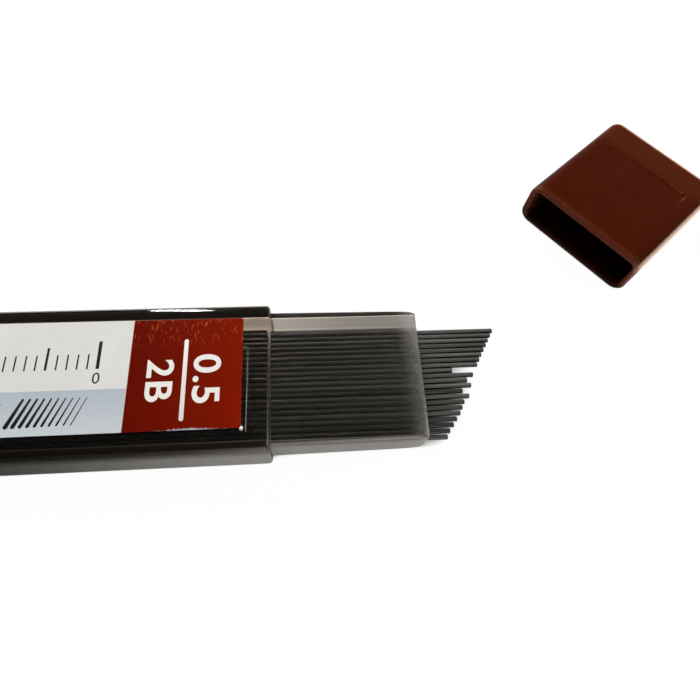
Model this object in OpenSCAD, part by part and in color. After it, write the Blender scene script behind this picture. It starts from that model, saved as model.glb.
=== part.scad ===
// Flat slide-cap case for fine refill leads: a one-piece moulded tube with a
// stepped neck, a loose push-on cap, a printed label and a single layer of leads.
// Millimetres. +X runs along the case towards the mouth, +Z is up, and the
// origin is the centre of the body's flat underside.

/* [Case body] */
// Length of the thick body, from the closed end to the shoulder
body_l = 62; // [60:0.5:80]
// Width of the body
body_w = 16.4; // [16.2:0.1:18]
// Thickness of the body
body_t = 5.7; // [5.6:0.1:7]
// Radius along the long edges and round the closed end
body_r = 1.1; // [0.7:0.1:1.4]
// Rounding of the body's edge at the shoulder
shoulder_r = 0.4; // [0.2:0.05:0.6]

/* [Neck] */
// Length of the neck that the cap slides over
neck_l = 15.9; // [14:0.1:17]
// Step from the body's side down to the neck, at the shoulder
neck_step_w = 0.75; // [0.65:0.025:0.8]
// Step from the body's broad face down to the neck, at the shoulder
neck_step_t = 0.65; // [0.55:0.025:0.7]
// Draft of the neck on each side, from the shoulder to the mouth
neck_draft = 0.12; // [0.04:0.02:0.14]
// Corner radius of the neck's section
neck_r = 0.65; // [0.4:0.05:0.9]
// Length of the rounded nose of the lip
lip_l = 1.6; // [0.4:0.1:2]

/* [Lead space] */
// Width of the lead space
cavity_w = 13.6; // [13.5:0.05:13.7]
// Height of the lead space
cavity_t = 3.1; // [2.6:0.1:3.2]
// Thickness of the wall at the closed end
end_wall = 1.5; // [1:0.1:3]

/* [Cap] */
// Outside length of the cap
cap_l = 18.6; // [18:0.1:20]
// Radius along the cap's long edges
cap_r = 1.4; // [1.1:0.1:1.5]
// Rounding of the cap's outer edge at its mouth
cap_mouth_r = 0.4; // [0.1:0.05:0.4]
// Running gap between the cap and the neck on each side, at the shoulder
cap_gap = 0.05; // [0.03:0.01:0.1]
// Thickness of the cap's closed end
cap_end = 1.4; // [0.8:0.1:1.5]
// Depth of the thumb ramp at its step
thumb_depth = 0.12; // [0.06:0.02:0.3]
// Width of the thumb ramp
thumb_w = 11.8; // [6:0.2:12]
// Distance of the thumb ramp's step from the cap's mouth
thumb_x = 13.9; // [10:0.1:14.5]
// Length of the thumb ramp
thumb_l = 7; // [4:0.5:9]
// Centre of the loose cap's mouth on the table, along the case
cap_x = 69.1; // [66:0.1:90]
// Centre of the loose cap's mouth on the table, across the case
cap_y = 18; // [17:0.1:40]
// Angle that the loose cap lies at, from the case's own direction
cap_turn = 39.3; // [20:0.1:60]

/* [Label] */
// Width of the label
label_w = 12; // [8:0.1:12.5]
// Margin from the label to each end of the body
label_margin = 2.73; // [2:0.01:6]
// Thickness of the label
label_th = 0.08; // [0.05:0.01:0.15]
// Sideways offset of the label from the centre line
label_dy = 0.29; // [-0.4:0.01:0.4]

/* [Leads] */
// Real diameter of a lead of the nominal half-millimetre size
lead_d = 0.57; // [0.55:0.005:0.58]
// Length of a lead
lead_l = 75; // [70:0.5:75]
// How far the first lead stands out of the mouth
lead_out = 9.6; // [9:0.1:12]
// How much less each following lead stands out
lead_fan = 0.35; // [0.3:0.005:0.4]

/* [Hidden] */
$fn = 64;
shoulder_x = body_l / 2;
mouth_x = shoulder_x + neck_l;
neck_w0 = body_w - 2 * neck_step_w;
neck_t0 = body_t - 2 * neck_step_t;
neck_w1 = neck_w0 - 2 * neck_draft;
neck_t1 = neck_t0 - 2 * neck_draft;
cavity_r = 0.3;
cavity_x0 = -body_l / 2 + end_wall;
floor_z = (body_t - cavity_t) / 2;
lead_gap = 0.02;
lead_z = floor_z + lead_gap + lead_d / 2;
// the row of leads: side by side from the far wall, opening up a little towards the near one
lead_pitch = lead_d + 0.018;
lead_open = 0.0016;
lead_y0 = 6;
// leads that have slipped out of the even fan, by lead number
function slip(i) = i == 9 ? -2.6 : i == 11 ? -0.4 : i == 12 ? 0.3 : i == 13 ? -0.4
    : i == 14 ? 0.6 : i == 15 ? 0.3 : i == 16 ? 0.35 : i == 17 ? 0.35 : i == 18 ? 0.25 : i == 19 ? 0.15 : 0;
function lead_y(i) = lead_y0 - (i - 1) * lead_pitch - (i - 1) * (i - 1) * lead_open;
function lead_tip(i) = mouth_x + lead_out - (i - 1) * lead_fan + slip(i);

// rectangle from x0 to x1, centred across, with its own corner radius at each end
module bar2(x0, x1, h, r0, r1) {
    translate([x0 + r0, -h / 2]) square([x1 - x0 - r0 - r1, h]);
    translate([x0, -h / 2 + r0]) square([r0 + 0.01, h - 2 * r0]);
    translate([x1 - r1 - 0.01, -h / 2 + r1]) square([r1 + 0.01, h - 2 * r1]);
    for (s = [-1, 1]) {
        translate([x0 + r0, s * (h / 2 - r0)]) circle(r = r0);
        translate([x1 - r1, s * (h / 2 - r1)]) circle(r = r1);
    }
}

// rounded rectangle, centred
module rrect(w, h, r) bar2(-w / 2, w / 2, h, r, r);

// stands a section up across the X axis and runs it from x0 to x1
module along_x(x0, x1) translate([x0, 0, 0]) rotate([90, 0, 90]) linear_extrude(height = x1 - x0) children();

// block with rounded long edges and its own edge radius at each end, lying on z = 0
module rounded_block(x0, x1, w, t, r, r0, r1) {
    intersection() {
        translate([0, 0, t / 2]) along_x(x0, x1) rrect(w, t, r);
        linear_extrude(height = t) bar2(x0, x1, w, r0, r1);
        translate([0, w / 2, t / 2]) rotate([90, 0, 0]) linear_extrude(height = w) bar2(x0, x1, t, r0, r1);
    }
}

// drafted neck with a rounded nose at the mouth
module neck() {
    translate([0, 0, body_t / 2]) hull() {
        along_x(shoulder_x - 1, shoulder_x) rrect(neck_w0, neck_t0, neck_r, $fn = 32);
        for (k = [0 : 4]) {
            a = k * 22.5;
            in = 0.33 * (1 - cos(a));
            x = mouth_x - lip_l + lip_l * sin(a);
            along_x(x - 0.01, x) rrect(neck_w1 - 2 * in, neck_t1 - 2 * in, neck_r - in, $fn = 32);
        }
    }
}

module case_body() color([0.2, 0.19, 0.18, 0.6]) {
    difference() {
        union() {
            rounded_block(-body_l / 2, shoulder_x, body_w, body_t, body_r, body_r, shoulder_r);
            neck();
        }
        translate([0, 0, body_t / 2]) along_x(cavity_x0, mouth_x + 1) rrect(cavity_w, cavity_t, cavity_r);
    }
}

module cap() color([0.29, 0.09, 0.04]) {
    translate([cap_x, cap_y, 0]) rotate([0, 0, cap_turn]) difference() {
        rounded_block(0, cap_l, body_w, body_t, cap_r, cap_mouth_r, 1);
        translate([0, 0, body_t / 2]) along_x(-1, cap_l - cap_end)
            rrect(neck_w0 + 2 * cap_gap, neck_t0 + 2 * cap_gap, neck_r + cap_gap);
        // thumb ramp, deepest at the step near the closed end
        translate([0, thumb_w / 2, body_t]) rotate([90, 0, 0]) linear_extrude(height = thumb_w)
            polygon([[thumb_x - thumb_l, 0], [thumb_x, -thumb_depth], [thumb_x, 1], [thumb_x - thumb_l, 1]]);
    }
}

module label() color([0.85, 0.84, 0.82]) {
    translate([0, label_dy, body_t]) linear_extrude(height = label_th)
        bar2(-body_l / 2 + label_margin, shoulder_x - label_margin, label_w, 0.25, 0.25);
}

module lead(i) color([0.2, 0.2, 0.19]) {
    translate([lead_tip(i) - lead_l, lead_y(i), lead_z]) rotate([0, 90, 0]) cylinder(d = lead_d, h = lead_l, $fn = 32);
}

case_body();
cap();
label();
lead(1);  // lead_01
lead(2);  // lead_02
lead(3);  // lead_03
lead(4);  // lead_04
lead(5);  // lead_05
lead(6);  // lead_06
lead(7);  // lead_07
lead(8);  // lead_08
lead(9);  // lead_09
lead(10);  // lead_10
lead(11);  // lead_11
lead(12);  // lead_12
lead(13);  // lead_13
lead(14);  // lead_14
lead(15);  // lead_15
lead(16);  // lead_16
lead(17);  // lead_17
lead(18);  // lead_18
lead(19);  // lead_19
lead(20);  // lead_20
lead(21);  // lead_21
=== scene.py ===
import math
import random

import bmesh
import bpy
from mathutils import Matrix, Vector


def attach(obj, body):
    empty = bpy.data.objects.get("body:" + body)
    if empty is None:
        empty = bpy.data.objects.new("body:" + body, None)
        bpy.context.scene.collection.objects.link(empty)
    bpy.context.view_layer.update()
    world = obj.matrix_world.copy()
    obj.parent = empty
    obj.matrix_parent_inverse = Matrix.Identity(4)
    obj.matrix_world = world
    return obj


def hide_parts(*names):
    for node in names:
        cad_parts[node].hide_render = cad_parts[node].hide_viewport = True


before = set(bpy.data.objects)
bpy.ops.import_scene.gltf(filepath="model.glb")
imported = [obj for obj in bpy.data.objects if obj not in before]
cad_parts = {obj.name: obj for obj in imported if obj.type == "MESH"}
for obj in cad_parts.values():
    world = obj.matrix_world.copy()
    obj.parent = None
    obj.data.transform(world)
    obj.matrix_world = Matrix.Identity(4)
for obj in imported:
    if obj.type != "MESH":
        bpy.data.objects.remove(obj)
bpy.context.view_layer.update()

MM = 0.001

# ---------------------------------------------------------------- sizes, in millimetres, as in the CAD
BODY_L, BODY_W, BODY_T, BODY_R, SHOULDER_R = 62.0, 16.4, 5.7, 1.1, 0.4
SX = BODY_L / 2
NECK_L, NECK_W0, NECK_T0, DRAFT, NECK_R, LIP_L = 15.9, 14.9, 4.4, 0.12, 0.65, 1.6
MX = SX + NECK_L
NECK_W1, NECK_T1 = NECK_W0 - 2 * DRAFT, NECK_T0 - 2 * DRAFT
CAV_W, CAV_T, CAV_R, CAV_X0 = 13.6, 3.1, 0.12, -SX + 1.5
CAP_L, CAP_END, CAP_GAP, CAP_X, CAP_Y, CAP_TURN = 18.6, 1.4, 0.05, 69.1, 18.0, 39.3
CAP_R, CAP_MOUTH_R = 1.4, 0.4
THUMB_D, THUMB_W, THUMB_X, THUMB_L = 0.12, 11.8, 13.9, 7.0
LABEL_W, LABEL_M, LABEL_DY, LABEL_TH = 12.0, 2.73, 0.29, 0.08
LEAD_D, LEAD_L = 0.57, 75.0
ZC = BODY_T / 2


# ---------------------------------------------------------------- node helpers
class Mat:
    """A material and short ways to add nodes to it."""

    def __init__(self, name):
        self.m = bpy.data.materials.new(name)
        self.m.use_nodes = True
        self.nt = self.m.node_tree
        self.nt.nodes.clear()
        self.out = self.nt.nodes.new("ShaderNodeOutputMaterial")
        self.p = self.nt.nodes.new("ShaderNodeBsdfPrincipled")
        self.link(self.p.outputs[0], self.out.inputs["Surface"])
        self._obj = None

    def link(self, a, b):
        self.nt.links.new(a, b)

    def set(self, **kw):
        for k, v in kw.items():
            s = self.p.inputs[k.replace("_", " ")]
            if isinstance(v, bpy.types.NodeSocket):
                self.link(v, s)
            else:
                s.default_value = v
        return self

    def coords(self):
        if self._obj is None:
            self._obj = self.nt.nodes.new("ShaderNodeTexCoord").outputs["Object"]
        return self._obj

    def mapped(self, scale=(1, 1, 1), rot=(0, 0, 0), loc=(0, 0, 0), src=None):
        n = self.nt.nodes.new("ShaderNodeMapping")
        n.inputs["Scale"].default_value = scale
        n.inputs["Rotation"].default_value = rot
        n.inputs["Location"].default_value = loc
        self.link(src or self.coords(), n.inputs["Vector"])
        return n.outputs[0]

    def noise(self, vec, scale, detail=4.0, rough=0.55, distort=0.0):
        n = self.nt.nodes.new("ShaderNodeTexNoise")
        n.inputs["Scale"].default_value = scale
        n.inputs["Detail"].default_value = detail
        n.inputs["Roughness"].default_value = rough
        n.inputs["Distortion"].default_value = distort
        self.link(vec, n.inputs["Vector"])
        return n.outputs["Fac"]

    def voronoi(self, vec, scale, feature="F1"):
        n = self.nt.nodes.new("ShaderNodeTexVoronoi")
        n.feature = feature
        n.inputs["Scale"].default_value = scale
        self.link(vec, n.inputs["Vector"])
        return n.outputs["Distance"]

    def ramp(self, fac, stops, interp="LINEAR"):
        n = self.nt.nodes.new("ShaderNodeValToRGB")
        n.color_ramp.interpolation = interp
        e = n.color_ramp.elements
        while len(e) < len(stops):
            e.new(0.5)
        for el, (pos, col) in zip(e, stops):
            el.position = pos
            el.color = (col, col, col, 1) if isinstance(col, (int, float)) else (*col, 1)
        self.link(fac, n.inputs["Fac"])
        return n.outputs["Color"]

    def math(self, op, a, b=None, c=None, clamp=False):
        n = self.nt.nodes.new("ShaderNodeMath")
        n.operation = op
        n.use_clamp = clamp
        for i, v in enumerate((a, b, c)):
            if v is None:
                continue
            if isinstance(v, bpy.types.NodeSocket):
                self.link(v, n.inputs[i])
            else:
                n.inputs[i].default_value = v
        return n.outputs[0]

    def xyz(self, vec=None):
        n = self.nt.nodes.new("ShaderNodeSeparateXYZ")
        self.link(vec or self.coords(), n.inputs[0])
        return n.outputs

    def maprange(self, v, a, b, lo=0.0, hi=1.0, smooth=False):
        n = self.nt.nodes.new("ShaderNodeMapRange")
        n.clamp = True
        n.interpolation_type = "SMOOTHSTEP" if smooth else "LINEAR"
        for key, val in (("From Min", a), ("From Max", b), ("To Min", lo), ("To Max", hi)):
            if isinstance(val, bpy.types.NodeSocket):
                self.link(val, n.inputs[key])
            else:
                n.inputs[key].default_value = val
        self.link(v, n.inputs["Value"])
        return n.outputs[0]

    def mix(self, fac, a, b, blend="MIX"):
        n = self.nt.nodes.new("ShaderNodeMix")
        n.data_type = "RGBA"
        n.blend_type = blend
        for sock, v in ((n.inputs[0], fac), (n.inputs[6], a), (n.inputs[7], b)):
            if isinstance(v, bpy.types.NodeSocket):
                self.link(v, sock)
            elif isinstance(v, (int, float)):
                sock.default_value = v
            else:
                sock.default_value = (*v, 1)
        return n.outputs[2]

    def bump(self, height, strength=0.3, dist=0.0001, normal=None):
        n = self.nt.nodes.new("ShaderNodeBump")
        n.inputs["Strength"].default_value = strength
        n.inputs["Distance"].default_value = dist
        self.link(height, n.inputs["Height"])
        if normal is not None:
            self.link(normal, n.inputs["Normal"])
        return n.outputs[0]


def lin(r, g, b):
    """sRGB 0..255 to linear."""
    f = lambda c: c / 12.92 if c <= 0.04045 else ((c + 0.055) / 1.055) ** 2.4
    return tuple(f(v / 255) for v in (r, g, b))


# ---------------------------------------------------------------- materials
def smoke_plastic():
    m = Mat("smoke_plastic")
    v = m.coords()
    x, y, _ = m.xyz()
    flow = m.noise(m.mapped(scale=(60, 260, 260)), 1.0, 2.0, 0.5, 0.3)
    fine = m.noise(v, 5200.0, 3.0, 0.6)
    scratch = m.noise(m.mapped(scale=(120, 7000, 900), rot=(0, 0, 0.10)), 1.0, 2.0, 0.55, 0.2)
    scratch2 = m.noise(m.mapped(scale=(6000, 260, 900), rot=(0, 0, -0.35)), 1.0, 2.0, 0.55, 0.2)
    lines = m.math("MAXIMUM", m.ramp(scratch, [(0.0, 0.0), (0.70, 0.0), (0.74, 1.0), (1.0, 1.0)]),
                   m.ramp(scratch2, [(0.0, 0.0), (0.72, 0.0), (0.76, 1.0), (1.0, 1.0)]))
    # the narrow sides, the rounded edges and the lip are finely frosted, the neck is hazed by the cap, the body is clear
    nx, ny, _ = m.xyz(m.nt.nodes.new("ShaderNodeNewGeometry").outputs["Normal"])
    neck = m.maprange(x, SX * MM, (SX + 0.4) * MM)
    near = m.maprange(m.math("MULTIPLY", ny, -1.0), 0.1, 0.6, 0.0, 0.28, True)
    far = m.maprange(ny, 0.5, 0.95, 0.0, 0.10, True)
    ends = m.maprange(m.math("ABSOLUTE", nx), 0.10, 0.60, 0.0, 0.24, True)
    cloud = m.noise(m.mapped(scale=(260, 420, 420)), 1.0, 3.0, 0.55, 0.4)
    haze = m.math("MULTIPLY", neck, m.maprange(cloud, 0.3, 0.7, 0.05, 0.09))
    lip = m.math("MULTIPLY", m.maprange(x, (MX - 2.6) * MM, (MX - 0.4) * MM, 0.0, 0.18), m.maprange(cloud, 0.3, 0.7, 0.85, 1.1))
    frost = m.math("MAXIMUM", m.math("MAXIMUM", near, far), m.math("MAXIMUM", ends, m.math("ADD", haze, lip)))
    rough = m.math("ADD", m.math("MULTIPLY_ADD", lines, 0.04, m.maprange(fine, 0.3, 0.7, 0.02, 0.05)), frost)
    b = m.bump(flow, 0.03, 0.00003)
    b = m.bump(lines, 0.02, 0.000002, b)
    # the lip is rubbed milky by the cap and the leads, most at its far corner
    wear_and_sheen = m.math("MULTIPLY", m.maprange(x, (MX - 2.4) * MM, (MX - 0.2) * MM, 0.0, 0.07, True), m.maprange(cloud, 0.3, 0.7, 0.8, 1.15))
    wear_and_sheen = m.math("MULTIPLY", wear_and_sheen, m.maprange(y, -0.002, 0.005, 0.65, 1.25))
    wear_and_sheen = m.math("MULTIPLY", wear_and_sheen, m.math("ADD", m.maprange(y, 0.0020, 0.0060, 0.70, 1.20), m.maprange(y, -0.0058, -0.0068, 0.0, 0.45)))
    m.set(Base_Color=(0.99, 0.985, 0.98, 1), Roughness=rough, IOR=1.5, Transmission_Weight=m.math("SUBTRACT", 1.0, wear_and_sheen), Normal=b)
    vol = m.nt.nodes.new("ShaderNodeVolumeAbsorption")
    vol.inputs["Color"].default_value = (0.46, 0.348, 0.21, 1)
    vol.inputs["Density"].default_value = 500.0
    m.link(vol.outputs[0], m.out.inputs["Volume"])
    return m.m


def cap_plastic():
    m = Mat("cap_plastic")
    v = m.coords()
    # along runs from the mouth to the closed end
    c, t = math.radians(CAP_TURN), Vector((CAP_X * MM, CAP_Y * MM, 0))
    own = m.mapped(rot=(0, 0, -c), loc=tuple(-(Matrix.Rotation(-c, 3, "Z") @ t)))
    along, across, up = m.xyz(own)
    turn = m.mapped(rot=(0, 0, -c), src=m.nt.nodes.new("ShaderNodeNewGeometry").outputs["Normal"])
    facing, aside, _ = m.xyz(turn)
    cloud = m.noise(v, 160.0, 4.0, 0.55)
    grain = m.noise(v, 6500.0, 4.0, 0.65)
    fleck = m.voronoi(v, 3800.0)
    base = m.ramp(cloud, [(0.3, (0.050, 0.0048, 0.0001)), (0.7, (0.062, 0.0070, 0.0002))])
    base = m.mix(m.maprange(grain, 0.45, 0.75, 0.0, 0.6), base, (0.078, 0.0108, 0.0005))
    # painted light: the upper part at the mouth is painted lighter, a painted glow where light shines through the thin
    # wall; further on, the closed-end half is painted lighter and the outer edges carry pale painted reflections
    edge = m.math("MULTIPLY", m.maprange(along, 0.0, 0.0015, 0.55, 0.0, True), m.maprange(up, 0.0030, 0.0045))
    base = m.mix(edge, base, (0.115, 0.0165, 0.0008))
    # painted light: the rim face at the mouth is painted lighter above the bottom edge, as if lit
    lip = m.math("MULTIPLY", m.maprange(facing, -0.25, -0.85), m.maprange(along, 0.0008, 0.0003))
    lip = m.math("MULTIPLY", lip, m.maprange(up, 0.0006, 0.0022, 0.1, 0.9))
    base = m.mix(lip, base, (0.170, 0.024, 0.0012))
    # painted light: the inner wall on the far side, facing the near side, is painted lighter just inside the mouth, as
    # if lit
    inner = m.math("MULTIPLY", m.maprange(across, 0.0062, 0.0068), m.maprange(aside, -0.3, -0.7))
    inner = m.math("MULTIPLY", inner, m.maprange(along, 0.0005, 0.0045, 0.9, 0.0, True))
    base = m.mix(inner, base, (0.300, 0.070, 0.016))
    # painted light: from the thumb step on towards the closed end the cap is painted lighter, as if more lit
    base = m.mix(m.maprange(along, (THUMB_X - 0.6) * MM, (THUMB_X + 0.8) * MM, 0.0, 0.5, True), base, (0.094, 0.0160, 0.0016))
    # painted reflection: pale strips along the upper near long edge and round the closed-end edge stand for glare from
    # the bright surroundings
    side = m.math("MULTIPLY", m.maprange(across, -0.00760, -0.00785, 0.0, 0.85, True), m.maprange(up, 0.0041, 0.0046))
    rim = m.math("MAXIMUM", side, m.math("MULTIPLY", m.maprange(along, (CAP_L - 1.05) * MM, (CAP_L - 0.65) * MM, 0.0, 0.9, True), m.maprange(up, 0.0047, 0.0053)))
    base = m.mix(m.math("MULTIPLY", rim, m.maprange(grain, 0.25, 0.65, 0.7, 1.0)), base, (0.600, 0.300, 0.190))
    # a pale line along the thumb ramp's step, partly scuffs and partly a painted highlight where the step's edge
    # catches light, strongest at one end of it, and round that corner
    off = m.math("ABSOLUTE", m.math("SUBTRACT", along, (THUMB_X - 0.04) * MM))
    step = m.math("MULTIPLY", m.maprange(off, 0.00016, 0.00005), m.maprange(across, -0.0030, -0.0052, 0.16, 0.75))
    step = m.math("MULTIPLY", step, m.maprange(m.math("ABSOLUTE", across), 0.0060, 0.0057))
    off = m.math("ABSOLUTE", m.math("ADD", across, (THUMB_W / 2 - 0.10) * MM))
    bend = m.math("MULTIPLY", m.maprange(off, 0.00016, 0.00005), m.maprange(along, 0.0121, 0.0130, 0.0, 0.6, True))
    bend = m.math("MULTIPLY", bend, m.maprange(along, THUMB_X * MM, (THUMB_X - 0.1) * MM))
    scuff_and_glint = m.math("MULTIPLY", m.math("MAXIMUM", step, bend), m.maprange(m.noise(v, 2600.0, 3.0, 0.6), 0.44, 0.58))
    base = m.mix(m.math("MULTIPLY", scuff_and_glint, m.maprange(up, 0.0050, 0.0054)), base, (0.200, 0.082, 0.038))
    rough = m.math("ADD", m.maprange(grain, 0.25, 0.75, 0.24, 0.34), m.maprange(cloud, 0.3, 0.7, -0.02, 0.02))
    b = m.bump(grain, 0.16, 0.000008)
    b = m.bump(fleck, 0.05, 0.000008, b)
    rough = m.math("SUBTRACT", rough, m.maprange(across, -0.0070, -0.0078, 0.0, 0.12))
    rough = m.math("ADD", rough, m.maprange(along, 0.0009, 0.0004, 0.0, 0.30))
    m.set(Base_Color=base, Roughness=rough, IOR=1.49, Specular_IOR_Level=0.38, Normal=b)
    return m.m


def graphite(seed):
    m = Mat(f"graphite_{seed}")
    streak = m.noise(m.mapped(scale=(60, 9000, 9000), loc=(seed * 1.7, 0, 0)), 1.0, 3.0, 0.6)
    band = m.noise(m.mapped(scale=(900, 1200, 1200), loc=(seed * 0.9, 0, 0)), 1.0, 4.0, 0.6)
    grain = m.noise(m.mapped(loc=(seed * 0.31, 0, 0)), 14000.0, 3.0, 0.6)
    k = (1.0, 0.74, 1.15, 0.88, 1.05, 0.68, 0.95, 0.42, 0.55)[seed]
    tone = lambda v: (v * k, v * k * 1.01, v * k * 0.93)
    base = m.ramp(streak, [(0.25, tone(0.055)), (0.75, tone(0.086))])
    base = m.mix(m.maprange(band, 0.55, 0.8, 0.0, 0.5), base, tone(0.112))
    # out in the open the top of each lead is painted lighter and its flanks painted darker, a painted highlight and
    # painted shade, with more painted shade towards the near side, and the open part is glossier; inside the case the
    # leads carry a little painted shade
    x, y, _ = m.xyz()
    _, _, up = m.xyz(m.nt.nodes.new("ShaderNodeNewGeometry").outputs["Normal"])
    out = m.maprange(x, (MX - 0.6) * MM, (MX + 0.5) * MM)
    painted_lead_shading = m.mix(1.0, base, m.ramp(m.maprange(up, 0.66, 0.985), [(0.0, 0.03), (1.0, 2.05)]), "MULTIPLY")
    painted_lead_shading = m.mix(1.0, painted_lead_shading, m.ramp(m.maprange(y, -0.0060, 0.0020), [(0.0, 0.70), (1.0, 0.95)]), "MULTIPLY")
    base = m.mix(out, m.mix(1.0, base, (0.91, 0.91, 0.91), "MULTIPLY"), painted_lead_shading)
    rough = m.math("SUBTRACT", m.maprange(streak, 0.25, 0.75, 0.52, 0.36), m.math("MULTIPLY", out, 0.10))
    b = m.bump(streak, 0.10, 0.000006)
    b = m.bump(grain, 0.2, 0.000006, b)
    m.set(Base_Color=base, Roughness=rough, Metallic=0.15, Normal=b)
    return m.m


def label_film():
    m = Mat("label_film")
    x, y, _ = m.xyz()
    block_x = (SX - 13.9) * MM
    wob = m.noise(m.mapped(scale=(1, 1, 1)), 9000.0, 2.0, 0.5)
    fine = m.noise(m.coords(), 5200.0, 3.0, 0.6)
    cloud = m.noise(m.coords(), 240.0, 3.0, 0.5)
    xw = m.math("MULTIPLY_ADD", wob, 0.00006, x)
    # white upper zone and silver-blue lower zone, either side of the block
    yw = m.math("MULTIPLY_ADD", wob, 0.00006, y)
    low = m.maprange(yw, -0.00117, -0.00123)
    white = m.ramp(cloud, [(0.3, lin(219, 218, 214)), (0.7, lin(226, 225, 222))])
    # silver print, with a painted reflection: bluish and lighter towards the near edge
    silver = m.ramp(m.maprange(y, -0.0012, -0.0057),
                    [(0.0, lin(180, 188, 197)), (0.45, lin(189, 196, 203)), (1.0, lin(202, 208, 211))])
    spark = m.ramp(fine, [(0.35, 0.93), (0.65, 1.05)])
    silver = m.mix(1.0, silver, spark, "MULTIPLY")
    paper = m.mix(low, white, silver)
    # brown block with a lighter cream edge line, and rubbed flecks along its far side
    # painted light: the block is painted lighter towards its +X end
    brown = m.ramp(m.maprange(x, block_x, (SX - LABEL_M) * MM),
                   [(0.0, lin(98, 12, 0)), (0.55, lin(114, 18, 0)), (1.0, lin(130, 23, 0))])
    brown = m.mix(m.maprange(cloud, 0.35, 0.7, 0.0, 0.25), brown, lin(98, 11, 0))
    fl1 = m.noise(m.mapped(scale=(5200, 1500, 1000), rot=(0, 0, 0.2)), 1.0, 2.0, 0.6)
    fl2 = m.noise(m.mapped(scale=(900, 1100, 1000)), 1.0, 2.0, 0.5)
    zone = m.math("MULTIPLY", m.maprange(y, 0.0028, 0.0046, 0, 1, True), m.maprange(fl2, 0.42, 0.62))
    fleck = m.math("MULTIPLY", m.ramp(fl1, [(0.0, 0.0), (0.54, 0.0), (0.64, 1.0), (1.0, 1.0)]), zone)
    brown = m.mix(m.math("MULTIPLY", fleck, 0.6), brown, lin(200, 86, 44))
    # painted reflection: a jagged pale bluish strip along the label's near edge, across the block, stands for light
    # caught on the film's edge
    edge_jitter = m.noise(m.mapped(scale=(6500, 900, 1000)), 1.0, 3.0, 0.7)
    depth = m.math("MULTIPLY_ADD", edge_jitter, 0.00080, m.maprange(m.math("ABSOLUTE", m.math("SUBTRACT", x, 0.0233)), 0.0, 0.0042, -0.00022, -0.00052))
    wear_and_sheen = m.maprange(m.math("SUBTRACT", m.math("SUBTRACT", y, (LABEL_DY - LABEL_W / 2) * MM), depth), 0.00004, -0.00010)
    brown = m.mix(m.math("MULTIPLY", wear_and_sheen, 0.85), brown, lin(196, 206, 224))
    edge = m.math("MULTIPLY", m.maprange(xw, block_x - 0.00012, block_x - 0.00002), m.maprange(xw, block_x + 0.00004, block_x))
    block = m.maprange(xw, block_x - 0.00003, block_x + 0.00003)
    col = m.mix(block, paper, brown)
    col = m.mix(m.math("MULTIPLY", edge, 0.5), col, lin(236, 214, 190))
    rough = m.math("ADD", m.maprange(fine, 0.3, 0.7, 0.48, 0.62), m.math("MULTIPLY", fleck, 0.2))
    b = m.bump(cloud, 0.05, 0.00006)
    b = m.bump(fine, 0.06, 0.000004, b)
    b = m.bump(fleck, 0.25, 0.000012, b)
    m.set(Base_Color=col, Roughness=rough, IOR=1.45, Specular_IOR_Level=0.05, Normal=b)
    return m.m


def ink(name, rgb, rgb2):
    m = Mat(name)
    n = m.noise(m.coords(), 3600.0, 4.0, 0.6)
    speck = m.noise(m.coords(), 15000.0, 2.0, 0.5)
    col = m.ramp(n, [(0.3, rgb), (0.7, rgb2)])
    col = m.mix(m.maprange(speck, 0.66, 0.74, 0.0, 0.35), col, rgb)
    b = m.bump(speck, 0.15, 0.000003)
    m.set(Base_Color=col, Roughness=m.maprange(n, 0.3, 0.7, 0.34, 0.48), Normal=b)
    return m.m


def clear_film():
    m = Mat("clear_film")
    n = m.noise(m.coords(), 3000.0, 3.0, 0.6)
    m.set(Base_Color=m.ramp(n, [(0.3, (0.80, 0.80, 0.78)), (0.7, (0.92, 0.92, 0.90))]),
          Roughness=m.maprange(n, 0.3, 0.7, 0.10, 0.3), IOR=1.46, Transmission_Weight=0.75)
    return m.m


M_SMOKE, M_CAP, M_LABEL = smoke_plastic(), cap_plastic(), label_film()
M_WHITE = ink("white_ink", lin(236, 231, 222), lin(246, 243, 236))
M_BLACK = ink("black_ink", lin(22, 21, 21), lin(34, 33, 33))
M_CLEAR = clear_film()


# ---------------------------------------------------------------- mesh helpers
def piece(name, verts, faces, mat, body, node=None, sharp=38.0, weighted=True, matrix=None):
    me = bpy.data.meshes.new(name)
    me.from_pydata([tuple(c * MM for c in v) for v in verts], [], faces)
    if matrix is not None:
        me.transform(matrix)
    bm = bmesh.new()
    bm.from_mesh(me)
    bmesh.ops.remove_doubles(bm, verts=bm.verts, dist=1e-8)
    bm.to_mesh(me)
    bm.free()
    me.materials.append(mat)
    me.polygons.foreach_set("use_smooth", [True] * len(me.polygons))
    me.set_sharp_from_angle(angle=math.radians(sharp))
    ob = bpy.data.objects.new(name, me)
    bpy.context.scene.collection.objects.link(ob)
    if weighted:
        w = ob.modifiers.new("normals", "WEIGHTED_NORMAL")
        w.keep_sharp = True
        w.weight = 60
    if node:
        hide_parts(node)
    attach(ob, body)
    return ob


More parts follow.
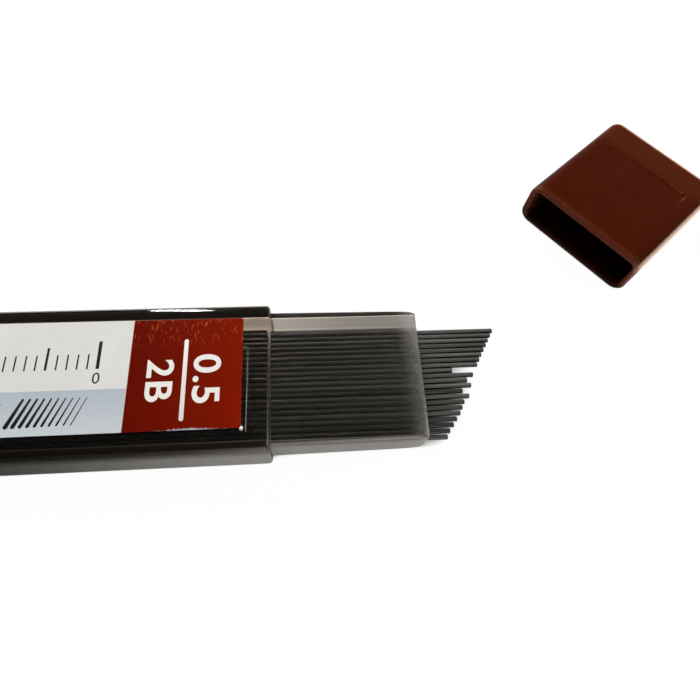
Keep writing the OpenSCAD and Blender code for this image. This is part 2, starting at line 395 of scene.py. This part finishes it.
def section(w, t, r, nc=10, ys=None, nt=3):
    """Points (y, z) round a rounded rectangle, counter-clockwise seen from +X. ys are places along the broad sides, from -1 to 1."""
    ys = ys or [-1 + 2 * k / 6 for k in range(7)]
    hw, ht = w / 2 - r, t / 2 - r
    pts = [(hw * u, -t / 2) for u in ys]
    pts += [(hw + r * math.sin(a), -ht - r * math.cos(a)) for a in (math.pi / 2 * k / nc for k in range(1, nc))]
    pts += [(w / 2, -ht + 2 * ht * k / nt) for k in range(nt + 1)]
    pts += [(hw + r * math.cos(a), ht + r * math.sin(a)) for a in (math.pi / 2 * k / nc for k in range(1, nc))]
    pts += [(-hw * u, t / 2) for u in ys]
    pts += [(-hw - r * math.sin(a), ht + r * math.cos(a)) for a in (math.pi / 2 * k / nc for k in range(1, nc))]
    pts += [(-w / 2, ht - 2 * ht * k / nt) for k in range(nt + 1)]
    pts += [(-hw - r * math.cos(a), -ht - r * math.sin(a)) for a in (math.pi / 2 * k / nc for k in range(1, nc))]
    return pts


def loft(rings):
    """Closed skin through rings of equal length, with an end face on the first and the last."""
    n = len(rings[0])
    verts = [p for ring in rings for p in ring]
    faces = [tuple(reversed(range(n)))]
    for i in range(len(rings) - 1):
        for j in range(n):
            k = (j + 1) % n
            faces.append((i * n + j, i * n + k, (i + 1) * n + k, (i + 1) * n + j))
    faces.append(tuple(range((len(rings) - 1) * n, len(rings) * n)))
    return verts, faces


def ring(x, w, t, r, **kw):
    return [(x, y, ZC + z) for y, z in section(w, t, r, **kw)]


def arc(n, a0=0.0, a1=math.pi / 2):
    return [a0 + (a1 - a0) * k / n for k in range(n + 1)]


# ---------------------------------------------------------------- case
def case_shell():
    R = []
    rc = BODY_R
    for a in arc(8):  # closed end, from its flat face round to the full section
        d = rc * (1 - math.sin(a))
        R.append(ring(-SX + rc * (1 - math.cos(a)), BODY_W - 2 * d, BODY_T - 2 * d, max(rc - d * 0.75, 0.28)))
    for k in range(1, 13):
        x = -SX + rc + (BODY_L - rc - SHOULDER_R) * k / 13
        R.append(ring(x, BODY_W, BODY_T, rc))
    for a in arc(6):  # shoulder edge
        d = SHOULDER_R * (1 - math.cos(a))
        R.append(ring(SX - SHOULDER_R + SHOULDER_R * math.sin(a), BODY_W - 2 * d, BODY_T - 2 * d, rc - d * 0.6))
    f = 0.14
    for a in arc(5):  # small fillet from the step into the neck
        d = f * (1 - math.sin(a))
        x = SX + f * (1 - math.cos(a))
        s = (x - SX) / NECK_L
        R.append(ring(x, NECK_W0 - 2 * DRAFT * s + 2 * d, NECK_T0 - 2 * DRAFT * s + 2 * d, NECK_R + d))
    for k in range(1, 8):
        s = (f + (NECK_L - LIP_L - f) * k / 8) / NECK_L
        R.append(ring(SX + NECK_L * s, NECK_W0 - 2 * DRAFT * s, NECK_T0 - 2 * DRAFT * s, NECK_R))
    s = (NECK_L - LIP_L) / NECK_L
    for a in arc(8):  # rounded nose of the lip
        d = 0.33 * (1 - math.cos(a))
        x = MX - LIP_L + LIP_L * math.sin(a)
        R.append(ring(x, NECK_W1 - 2 * d, NECK_T1 - 2 * d, NECK_R - d))
    g = 0.10
    for a in arc(4):  # inner edge of the mouth
        d = g * (1 - math.sin(a))
        R.append(ring(MX - g * (1 - math.cos(a)), CAV_W + 2 * d, CAV_T + 2 * d, CAV_R + d))
    for k in range(1, 14):
        R.append(ring(MX - g + (CAV_X0 + 0.06 - MX + g) * k / 14, CAV_W, CAV_T, CAV_R))
    for a in arc(4):  # floor corner at the closed end
        d = 0.06 * (1 - math.cos(a))
        R.append(ring(CAV_X0 + 0.06 - 0.06 * math.sin(a), CAV_W - 2 * d, CAV_T - 2 * d, CAV_R - d * 0.8))
    v, fcs = loft(R)
    ob = piece("case_shell", v, fcs, M_SMOKE, "case", "case_body", sharp=50)
    return ob


# ---------------------------------------------------------------- cap
def cap_shell():
    hw = BODY_W / 2 - CAP_R
    e = THUMB_W / 2
    soft = [-0.02, 0.05, 0.12, 0.20, 0.30]
    ys_mm = [-hw] + [-e + u for u in soft] + [-3.6, -1.2, 1.2, 3.6] + [e - u for u in reversed(soft)] + [hw]
    ys = [u / hw for u in ys_mm]
    R = []

    def blend(u):
        u = min(max(u, 0.0), 1.0)
        return u * u * (3 - 2 * u)

    def dip(x, y):
        """Depth of the thumb ramp below the top face."""
        if not THUMB_X - THUMB_L < x < THUMB_X:
            return 0.0
        ramp = THUMB_D * ((x - THUMB_X + THUMB_L) / THUMB_L) ** 1.3 * (0.2 + 0.8 * blend((e - y) / (1.7 * e)))
        return ramp * blend((THUMB_X - x) / 0.30) * blend((e - abs(y)) / 0.30)

    def put(x, w, t, r):
        R.append([(x, y, ZC + z - (dip(x, y) if abs(z - t / 2) < 1e-9 else 0.0)) for y, z in section(w, t, r, ys=ys)])

    # inside, from the closed floor to the mouth
    iw, it, ir = NECK_W0 + 2 * CAP_GAP, NECK_T0 + 2 * CAP_GAP, NECK_R + CAP_GAP
    depth = CAP_L - CAP_END
    inner = []
    for a in reversed(arc(4)):
        d = 0.3 * (1 - math.cos(a))
        inner.append((depth - 0.3 + 0.3 * math.sin(a), iw - 2 * d, it - 2 * d, ir - d * 0.8))
    for k in range(1, 8):
        inner.append((depth - 0.3 - (depth - 0.6) * k / 8, iw, it, ir))
    for a in arc(4):
        d = 0.16 * (1 - math.cos(a))
        inner.append((0.16 - 0.16 * math.sin(a), iw + 2 * d, it + 2 * d, ir + d))
    for x, w, t, r in inner:
        R.append([(x, y, ZC + z) for y, z in section(w, t, r, ys=ys)])
    m = CAP_MOUTH_R
    for a in arc(7):  # outer edge of the mouth
        d = m * (1 - math.sin(a))
        put(m * (1 - math.cos(a)), BODY_W - 2 * d, BODY_T - 2 * d, CAP_R - d)
    xs = [1.5, 3.2, 5.0, THUMB_X - THUMB_L] + [THUMB_X - THUMB_L + THUMB_L * k / 8 for k in range(1, 8)]
    xs += [THUMB_X - u for u in (0.5, 0.30, 0.25, 0.20, 0.15, 0.10, 0.05, 0.02, 0.0)] + [THUMB_X + 0.06, 14.6, 16.2, CAP_L - 1.0]
    for x in xs:
        put(x, BODY_W, BODY_T, CAP_R)
    for a in arc(8)[1:]:  # closed end
        d = 1.0 * (1 - math.cos(a))
        put(CAP_L - 1.0 + 1.0 * math.sin(a), BODY_W - 2 * d, BODY_T - 2 * d, max(CAP_R - d * 0.75, 0.3))
    v, fcs = loft(R)
    t = Matrix.Translation((CAP_X * MM, CAP_Y * MM, 0)) @ Matrix.Rotation(math.radians(CAP_TURN), 4, "Z")
    return piece("cap_shell", v, fcs, M_CAP, "cap", "cap", sharp=50, matrix=t)


# ---------------------------------------------------------------- label and its print
LZ0, LZ1 = BODY_T + 0.003, BODY_T + LABEL_TH - 0.006


def plate(outline, z0, z1, bevel):
    """Plate of a closed outline (counter-clockwise seen from above) with a rounded upper edge."""
    n = len(outline)
    cen = [sum(p[i] for p in outline) / n for i in (0, 1)]

    def inset(d):
        out = []
        for i in range(n):
            a, b, c = outline[i - 1], outline[i], outline[(i + 1) % n]
            t1 = Vector((b[0] - a[0], b[1] - a[1])).normalized()
            t2 = Vector((c[0] - b[0], c[1] - b[1])).normalized()
            nrm = Vector((-(t1 + t2).y, (t1 + t2).x)).normalized()
            k = max(nrm.dot(Vector((-t1.y, t1.x))), 0.5)
            out.append((b[0] + nrm.x * d / k, b[1] + nrm.y * d / k))
        return out

    rings = [[(x, y, z0) for x, y in outline]]
    for a in arc(3):
        d = bevel * (1 - math.cos(a))
        rings.append([(x, y, z1 - bevel + bevel * math.sin(a)) for x, y in inset(d)])
    return loft(rings)


def rounded_outline(x0, x1, y0, y1, r, n=8):
    pts = []
    for cx, cy, a0 in ((x1 - r, y0 + r, -90), (x1 - r, y1 - r, 0), (x0 + r, y1 - r, 90), (x0 + r, y0 + r, 180)):
        pts += [(cx + r * math.cos(math.radians(a0 + 90 * k / n)), cy + r * math.sin(math.radians(a0 + 90 * k / n))) for k in range(n + 1)]
    return pts


def label():
    x0, x1 = -SX + LABEL_M, SX - LABEL_M
    y0, y1 = LABEL_DY - LABEL_W / 2, LABEL_DY + LABEL_W / 2
    v, f = plate(rounded_outline(x0, x1, y0, y1, 0.25), LZ0, LZ1, 0.02)
    return piece("label_sheet", v, f, M_LABEL, "case", "label", sharp=60)


INK_Z0, INK_Z1 = LZ1 - 0.002, LZ1 + 0.004


def bar(name, x0, x1, y0, y1, mat, r=None):
    r = min(abs(x1 - x0), abs(y1 - y0)) / 2 * 0.98 if r is None else r
    v, f = plate(rounded_outline(min(x0, x1), max(x0, x1), min(y0, y1), max(y0, y1), r, 6), INK_Z0, INK_Z1, 0.002)
    return piece(name, v, f, mat, "case", sharp=60, weighted=False)


def glyphs(name, text, xr, yr, mat, bold=0.03, turned=True, space=1.0):
    """Plain figures as thin ink shapes, fitted to the box xr, yr (mm). Turned figures read towards -Y with their tops at +X, and "over" ones read from the far side."""
    cu = bpy.data.curves.new(name + "_c", "FONT")
    cu.body = text
    cu.size = 1.0
    cu.offset = bold
    cu.space_character = space
    cu.extrude = 0.5
    cu.resolution_u = 8
    tmp = bpy.data.objects.new(name + "_c", cu)
    bpy.context.scene.collection.objects.link(tmp)
    dg = bpy.context.evaluated_depsgraph_get()
    me = bpy.data.meshes.new_from_object(tmp.evaluated_get(dg))
    bpy.data.objects.remove(tmp)
    bpy.data.curves.remove(cu)
    co = [v.co.copy() for v in me.vertices]
    lo = [min(c[i] for c in co) for i in range(3)]
    hi = [max(c[i] for c in co) for i in range(3)]
    for v, c in zip(me.vertices, co):
        u = (c[0] - lo[0]) / (hi[0] - lo[0])
        w = (c[1] - lo[1]) / (hi[1] - lo[1])
        z = INK_Z1 if c[2] > 0 else INK_Z0
        if turned == "over":
            x, y = xr[1] - (xr[1] - xr[0]) * u, yr[1] - (yr[1] - yr[0]) * w
        elif turned:
            x, y = xr[0] + (xr[1] - xr[0]) * w, yr[1] - (yr[1] - yr[0]) * u
        else:
            x, y = xr[0] + (xr[1] - xr[0]) * u, yr[0] + (yr[1] - yr[0]) * w
        v.co = (x * MM, y * MM, z * MM)
    bm = bmesh.new()
    bm.from_mesh(me)
    bmesh.ops.remove_doubles(bm, verts=bm.verts, dist=1e-8)
    bmesh.ops.recalc_face_normals(bm, faces=bm.faces)
    bm.to_mesh(me)
    bm.free()
    me.materials.clear()
    me.materials.append(mat)
    ob = bpy.data.objects.new(name, me)
    bpy.context.scene.collection.objects.link(ob)
    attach(ob, "case")
    return ob


def print_work():
    glyphs("print_size", "0.5", (SX - 7.6, SX - 4.85), (-3.05, 2.2), M_WHITE, 0.018, space=1.06)
    glyphs("print_grade", "2B", (SX - 12.15, SX - 9.5), (-2.75, 1.75), M_WHITE, 0.018, space=1.06)
    bar("print_divider", SX - 8.66, SX - 8.23, -4.8, 3.95, M_WHITE)


def stroke(p0, p1, w0, w1=None, n=6):
    """Outline of a straight round-ended stroke, with its own width at each end."""
    w1 = w0 if w1 is None else w1
    a = math.atan2(p1[1] - p0[1], p1[0] - p0[0])
    pts = []
    for (cx, cy), w, b in ((p1, w1, a - math.pi / 2), (p0, w0, a + math.pi / 2)):
        pts += [(cx + w / 2 * math.cos(b + math.pi * k / n), cy + w / 2 * math.sin(b + math.pi * k / n)) for k in range(n + 1)]
    return pts


def print_group(name, outlines, mat):
    verts, faces = [], []
    for o in outlines:
        v, f = plate(o, INK_Z0, INK_Z1, 0.002)
        faces += [tuple(i + len(verts) for i in face) for face in f]
        verts += v
    return piece(name, verts, faces, mat, "case", sharp=60, weighted=False)


def print_scale():
    """Plain millimetre scale along the white zone, with its figures, and a swatch of hatching beside it."""
    x0 = 14.0
    marks = []
    for k in range(41):
        x = x0 - k
        top, w = (4.0, 0.34) if k % 10 == 0 else (3.4, 0.24) if k % 5 == 0 else (2.6, 0.15)
        marks.append(rounded_outline(x - w / 2, x + w / 2, 0.95, top, 0.03, 3))
    print_group("print_scale", marks, M_BLACK)
    for k in range(5):
        x = x0 - 10 * k
        half = 0.22 if k == 1 else 0.36
        glyphs(f"print_figure_{k}", str(k), (x - half, x + half), (-0.62, 0.55), M_BLACK, 0.0, turned="over")
    hatch = []
    for k in range(10):
        x, w = 13.1 - 0.66 * k, 0.12 + 0.036 * k
        hatch.append(stroke((x - 0.75, -4.72), (x + 0.35, -2.05), w, w * 0.55))
    for k in range(26):
        x, w = 5.4 - 1.22 * k, 0.10 + 0.014 * k
        hatch.append(stroke((x - 0.95, -4.30), (x + 0.15, -2.45), w, w * 0.6))
    print_group("print_hatch", hatch, M_BLACK)


def film_bubble():
    """Small blister in the film at the label's corner, in white ink: a painted glint."""
    cx, cy, r = SX - LABEL_M + 0.02, LABEL_DY - LABEL_W / 2 - 0.02, 0.19
    rings = []
    for q, h in ((1.0, 0.0), (0.92, 0.35), (0.72, 0.68), (0.42, 0.92), (0.14, 1.0)):
        rings.append([(cx + r * q * math.cos(2 * math.pi * k / 20), cy + r * 1.15 * q * math.sin(2 * math.pi * k / 20), BODY_T + 0.002 + 0.076 * h) for k in range(20)])
    v, f = loft(rings)
    return piece("film_bubble", v, f, M_WHITE, "case", sharp=60, weighted=False)


def film_margin():
    """Clear edge of the film that stands out past the printed block."""
    x1, r = SX - 2.2, 0.45
    path = [(SX - 2.72, 2.98)]
    path += [(x1 - r + r * math.cos(a), 2.98 - r + r * math.sin(a)) for a in reversed(arc(6))]
    path += [(x1 - 0.02, -2.0), (x1 - 0.06, -6.1)]
    w = 0.03
    left, right = [], []
    for i, p in enumerate(path):
        a, b = path[max(i - 1, 0)], path[min(i + 1, len(path) - 1)]
        t = Vector((b[0] - a[0], b[1] - a[1])).normalized()
        left.append((p[0] - t.y * w, p[1] + t.x * w))
        right.append((p[0] + t.y * w, p[1] - t.x * w))
    rings = []
    for l, p, q in zip(left, path, right):
        z = BODY_T + 0.002
        rings.append([(l[0], l[1], z), (q[0], q[1], z), ((q[0] + p[0]) / 2, (q[1] + p[1]) / 2, z + 0.022), ((l[0] + p[0]) / 2, (l[1] + p[1]) / 2, z + 0.022)])
    v, f = loft([list(reversed(k)) for k in rings])
    return piece("film_margin", v, f, M_CLEAR, "case", sharp=40, weighted=False)


# ---------------------------------------------------------------- leads
SLIP = {9: -2.6, 11: -0.4, 12: 0.3, 13: -0.4, 14: 0.6, 15: 0.3, 16: 0.35, 17: 0.35, 18: 0.25, 19: 0.15}


def lead(i):
    rnd = random.Random(1000 + i)
    r = LEAD_D / 2
    y = 6.0 - (i - 1) * 0.588 - (i - 1) ** 2 * 0.0016
    z = (BODY_T - 3.1) / 2 + 0.02 + r
    tip = MX + 9.6 - (i - 1) * 0.35 + SLIP.get(i, 0.0)
    tail = tip - LEAD_L
    n = 28
    tilt = [(rnd.uniform(-0.10, 0.10), rnd.uniform(-0.10, 0.10)) for _ in range(2)]
    rough = [[rnd.uniform(0.0, 0.028) for _ in range(n)] for _ in range(2)]
    rings = []

    def end(which, x_end, sign):
        """Snapped end: a shallow uneven face with a rubbed rim."""
        out = []
        for rad, inset in ((1.0, 0.10), (0.97, 0.045), (0.88, 0.022), (0.55, 0.012), (0.2, 0.008)):
            pts = []
            for k in range(n):
                a = 2 * math.pi * k / n
                cy, cz = rad * r * math.cos(a), rad * r * math.sin(a)
                slope = tilt[which][0] * cy + tilt[which][1] * cz
                dx = inset + abs(slope) * 0.0 + max(0.0, 0.03 + slope) + rough[which][k] * (1 if 0.5 < rad < 1 else 0.3)
                pts.append((x_end - sign * dx, y + cy, z + cz))
            out.append(pts)
        return out

    a = end(0, tail, -1)
    b = end(1, tip, 1)
    rings = list(reversed(a))
    for k in range(1, 10):
        x = tail + 0.2 + (LEAD_L - 0.4) * k / 10
        rings.append([(x, y + r * math.cos(2 * math.pi * q / n), z + r * math.sin(2 * math.pi * q / n)) for q in range(n)])
    rings += b
    v, f = loft(rings)
    return piece(f"lead_rod_{i:02d}", v, f, M_GRAPHITE[PAINTED_SHADE_LEADS.get(i, (i * 3 + i // 7) % 7)], f"lead_{i:02d}", f"lead_{i:02d}", sharp=55)


M_GRAPHITE = [graphite(k) for k in range(9)]
# painted shade: leads 13, 18, 19 and 20 get the two darkest copies of the graphite
PAINTED_SHADE_LEADS = {13: 7, 18: 8, 19: 7, 20: 7}

case_shell()
cap_shell()
label()
print_work()
print_scale()
film_bubble()
film_margin()
for i in range(1, 22):
    lead(i)


# ---------------------------------------------------------------- floor, light, camera
def floor():
    me = bpy.data.meshes.new("floor")
    s, z = 3.0, -0.00003
    me.from_pydata([(-s, -s, z), (s, -s, z), (s, s, z), (-s, s, z)], [], [(0, 1, 2, 3)])
    ob = bpy.data.objects.new("floor", me)
    bpy.context.scene.collection.objects.link(ob)
    m = bpy.data.materials.new("floor")
    m.use_nodes = True
    nt = m.node_tree
    nt.nodes.clear()
    out = nt.nodes.new("ShaderNodeOutputMaterial")
    p = nt.nodes.new("ShaderNodeBsdfPrincipled")
    p.inputs["Base Color"].default_value = (0.86, 0.86, 0.85, 1)
    p.inputs["Roughness"].default_value = 0.8
    p.inputs["Specular IOR Level"].default_value = 0.0
    p2 = nt.nodes.new("ShaderNodeBsdfPrincipled")
    p2.inputs["Base Color"].default_value = (0.06, 0.06, 0.06, 1)
    p2.inputs["Roughness"].default_value = 0.8
    p2.inputs["Specular IOR Level"].default_value = 0.0
    ao = nt.nodes.new("ShaderNodeAmbientOcclusion")
    ao.samples = 8
    ao.inputs["Distance"].default_value = 0.004

    def maprange(v, a, b, lo, hi, smooth=True):
        n = nt.nodes.new("ShaderNodeMapRange")
        n.interpolation_type = "SMOOTHSTEP" if smooth else "LINEAR"
        for key, val in (("From Min", a), ("From Max", b), ("To Min", lo), ("To Max", hi)):
            n.inputs[key].default_value = val
        nt.links.new(v, n.inputs["Value"])
        return n.outputs[0]

    def math2(op, a, b):
        n = nt.nodes.new("ShaderNodeMath")
        n.operation = op
        for i, v in enumerate((a, b)):
            if isinstance(v, bpy.types.NodeSocket):
                nt.links.new(v, n.inputs[i])
            else:
                n.inputs[i].default_value = v
        return n.outputs[0]

    def lerp(f, a, b):
        return math2("ADD", math2("MULTIPLY", a, math2("SUBTRACT", 1.0, f)), math2("MULTIPLY", b, f))

    # an evenly lit pale sheet where it is seen, and where the plastic and the cap pick it up, softer patches of it
    # carry painted light and painted shade
    lp = nt.nodes.new("ShaderNodeLightPath")
    tc = nt.nodes.new("ShaderNodeTexCoord")
    sep = nt.nodes.new("ShaderNodeSeparateXYZ")
    nt.links.new(tc.outputs["Object"], sep.inputs[0])
    px, py = sep.outputs[0], sep.outputs[1]
    by_case = lerp(maprange(py, -0.004, 0.004, 0.0, 1.0), math2("MULTIPLY", maprange(px, 0.000, 0.034, 0.18, 1.0), maprange(py, -0.0100, -0.0160, 1.0, 2.4)), maprange(px, 0.026, 0.044, 1.05, 0.55))
    along = math2("ADD", math2("MULTIPLY", px, 0.774), math2("MULTIPLY", py, 0.633))
    by_cap = maprange(along, 0.071, 0.087, 0.05, 1.3)
    beside = math2("SUBTRACT", math2("MULTIPLY", px, 0.633), math2("MULTIPLY", py, 0.774))
    by_cap = math2("MULTIPLY", by_cap, maprange(beside, 0.0205, 0.0225, 0.12, 1.0))
    by_cap = math2("MAXIMUM", by_cap, maprange(beside, 0.0380, 0.0400, 0.0, 1.8))
    patch = lerp(maprange(px, 0.050, 0.060, 0.0, 1.0), by_case, by_cap)
    # what the near wall lets through lies in the case's own shade
    shade = math2("MULTIPLY", lp.outputs["Is Transmission Ray"], maprange(py, -0.0050, -0.0070, 0.0, 0.85))
    patch = math2("MULTIPLY", patch, math2("SUBTRACT", 1.0, shade))
    # painted shade: the floor under the far wall is darkened for what passes through the plastic
    under = math2("MULTIPLY", lp.outputs["Is Transmission Ray"], math2("MULTIPLY", maprange(py, 0.0045, 0.0055, 0.0, 0.9), maprange(py, 0.0080, 0.0075, 0.0, 1.0)))
    patch = math2("MULTIPLY", patch, math2("SUBTRACT", 1.0, under))
    straight = lp.outputs["Is Camera Ray"]
    # and so does the narrow gap under each lead of the near half of the fan
    fan = math2("MULTIPLY", math2("MULTIPLY", maprange(px, 0.0460, 0.0470, 0.0, 1.0), maprange(px, 0.0560, 0.0540, 0.0, 1.0)),
                math2("MULTIPLY", maprange(py, 0.0009, 0.0005, 0.0, 1.0), maprange(py, -0.0076, -0.0068, 0.0, 1.0)))
    open_air = math2("SUBTRACT", ao.outputs["AO"], math2("MULTIPLY", fan, 0.20))
    glow = lerp(straight, math2("MULTIPLY", lerp(maprange(px, 0.056, 0.064, 0.0, 1.0), maprange(ao.outputs["AO"], 0.34, 0.50, 0.0, 0.97), maprange(ao.outputs["AO"], 0.05, 0.20, 0.0, 0.97)), patch),
                maprange(open_air, 0.16, 0.36, 0.0, 0.97, False))
    nt.links.new(glow, p2.inputs["Emission Strength"])
    tint = (1.0, 0.965, 0.885, 1)
    for way, other in ((lp.outputs["Is Transmission Ray"], (1.0, 0.99, 0.965, 1)), (straight, (1, 1, 1, 1))):
        n = nt.nodes.new("ShaderNodeMix")
        n.data_type = "RGBA"
        nt.links.new(way, n.inputs[0])
        if isinstance(tint, tuple):
            n.inputs[6].default_value = tint
        else:
            nt.links.new(tint, n.inputs[6])
        n.inputs[7].default_value = other
        tint = n.outputs[2]
    nt.links.new(tint, p2.inputs["Emission Color"])
    seen = math2("MAXIMUM", straight, math2("MAXIMUM", lp.outputs["Is Transmission Ray"], lp.outputs["Is Glossy Ray"]))
    mix = nt.nodes.new("ShaderNodeMixShader")
    nt.links.new(seen, mix.inputs[0])
    nt.links.new(p.outputs[0], mix.inputs[1])
    nt.links.new(p2.outputs[0], mix.inputs[2])
    nt.links.new(mix.outputs[0], out.inputs["Surface"])
    m.cycles.emission_sampling = "NONE"
    me.materials.append(m)


def area(name, loc, target, size, power, colour=(1, 1, 1), size_y=None):
    d = bpy.data.lights.new(name, "AREA")
    d.energy = power
    d.color = colour
    d.size = size
    if size_y:
        d.shape = "RECTANGLE"
        d.size_y = size_y
    ob = bpy.data.objects.new(name, d)
    bpy.context.scene.collection.objects.link(ob)
    ob.location = loc
    ob.rotation_euler = (Vector(target) - Vector(loc)).to_track_quat("-Z", "Y").to_euler()
    ob.visible_camera = False
    return ob


floor()
C = (0.035, 0.005, 0.003)
def aim(az, el, dist, at=C):
    a, e = math.radians(az), math.radians(el)
    return (at[0] + dist * math.cos(e) * math.cos(a), at[1] + dist * math.cos(e) * math.sin(a), at[2] + dist * math.sin(e))


area("east_soft", aim(-4, 28, 0.60), C, 0.42, 2.6, (1.0, 0.985, 0.97), 0.30).visible_glossy = False
lamp = area("far_lamp", aim(104.6, 24, 0.55, (0.022, 0.008, 0.005)), (0.022, 0.008, 0.005), 0.055, 1.6, (1, 1, 1), 0.40)
lamp.data.shape = "ELLIPSE"
area("cap_lamp", aim(48, 9, 0.50, (0.080, 0.028, 0.004)), (0.080, 0.028, 0.004), 0.20, 0.12, (1.0, 0.95, 0.9), 0.06)
for name, az, el, power in (("north_west_soft", 118, 36, 1.4), ("north_soft", 95, 26, 0.8)):
    area(name, aim(az, el, 0.50), C, 0.28, power, (1.0, 1.0, 1.0)).visible_glossy = False

for name, el, tall, power in (("south_card_low", 13, 0.11, 0.2), ("south_card_high", 23, 0.22, 0.38)):
    card = area(name, aim(-80, el, 0.30, (0.034, -0.008, 0.004)), (0.034, -0.008, 0.004), 0.16, power, (1.0, 0.975, 0.90), tall)
    card.visible_diffuse = card.visible_transmission = False

world = bpy.data.worlds.new("studio")
bpy.context.scene.world = world
world.use_nodes = True
bg = world.node_tree.nodes["Background"]
bg.inputs["Color"].default_value = (1.0, 1.0, 1.0, 1)
bg.inputs["Strength"].default_value = 0.04
# a pale wall behind the floor, which lights nothing
wall = world.node_tree.nodes.new("ShaderNodeBackground")
wall.inputs["Color"].default_value = (0.97, 0.97, 0.97, 1)
way = world.node_tree.nodes.new("ShaderNodeLightPath")
both = world.node_tree.nodes.new("ShaderNodeMixShader")
world.node_tree.links.new(way.outputs["Is Camera Ray"], both.inputs[0])
world.node_tree.links.new(bg.outputs[0], both.inputs[1])
world.node_tree.links.new(wall.outputs[0], both.inputs[2])
world.node_tree.links.new(both.outputs[0], world.node_tree.nodes["World Output"].inputs["Surface"])

cam_d = bpy.data.cameras.new("camera")
cam_d.lens = 26.84
cam_d.sensor_width = 36.0
cam_d.sensor_fit = "HORIZONTAL"
cam_d.clip_start = 0.001
cam_d.clip_end = 20.0
cam = bpy.data.objects.new("camera", cam_d)
bpy.context.scene.collection.objects.link(cam)
yaw, pitch, roll = math.radians(10.726), math.radians(64.965), math.radians(8.0)
fwd = Vector((math.sin(yaw) * math.cos(pitch), math.cos(yaw) * math.cos(pitch), -math.sin(pitch)))
right = Vector((math.cos(yaw), -math.sin(yaw), 0))
up = right.cross(fwd)
r2 = math.cos(roll) * right + math.sin(roll) * up
u2 = -math.sin(roll) * right + math.cos(roll) * up
cm = Matrix((r2, u2, -fwd)).transposed().to_4x4()
cm.translation = ((SX + 4.045) * MM, -20.455 * MM, 55.109 * MM)
cam.matrix_world = cm
bpy.context.scene.camera = cam

vs = bpy.context.scene.view_settings
vs.view_transform = "Standard"
vs.look = "None"
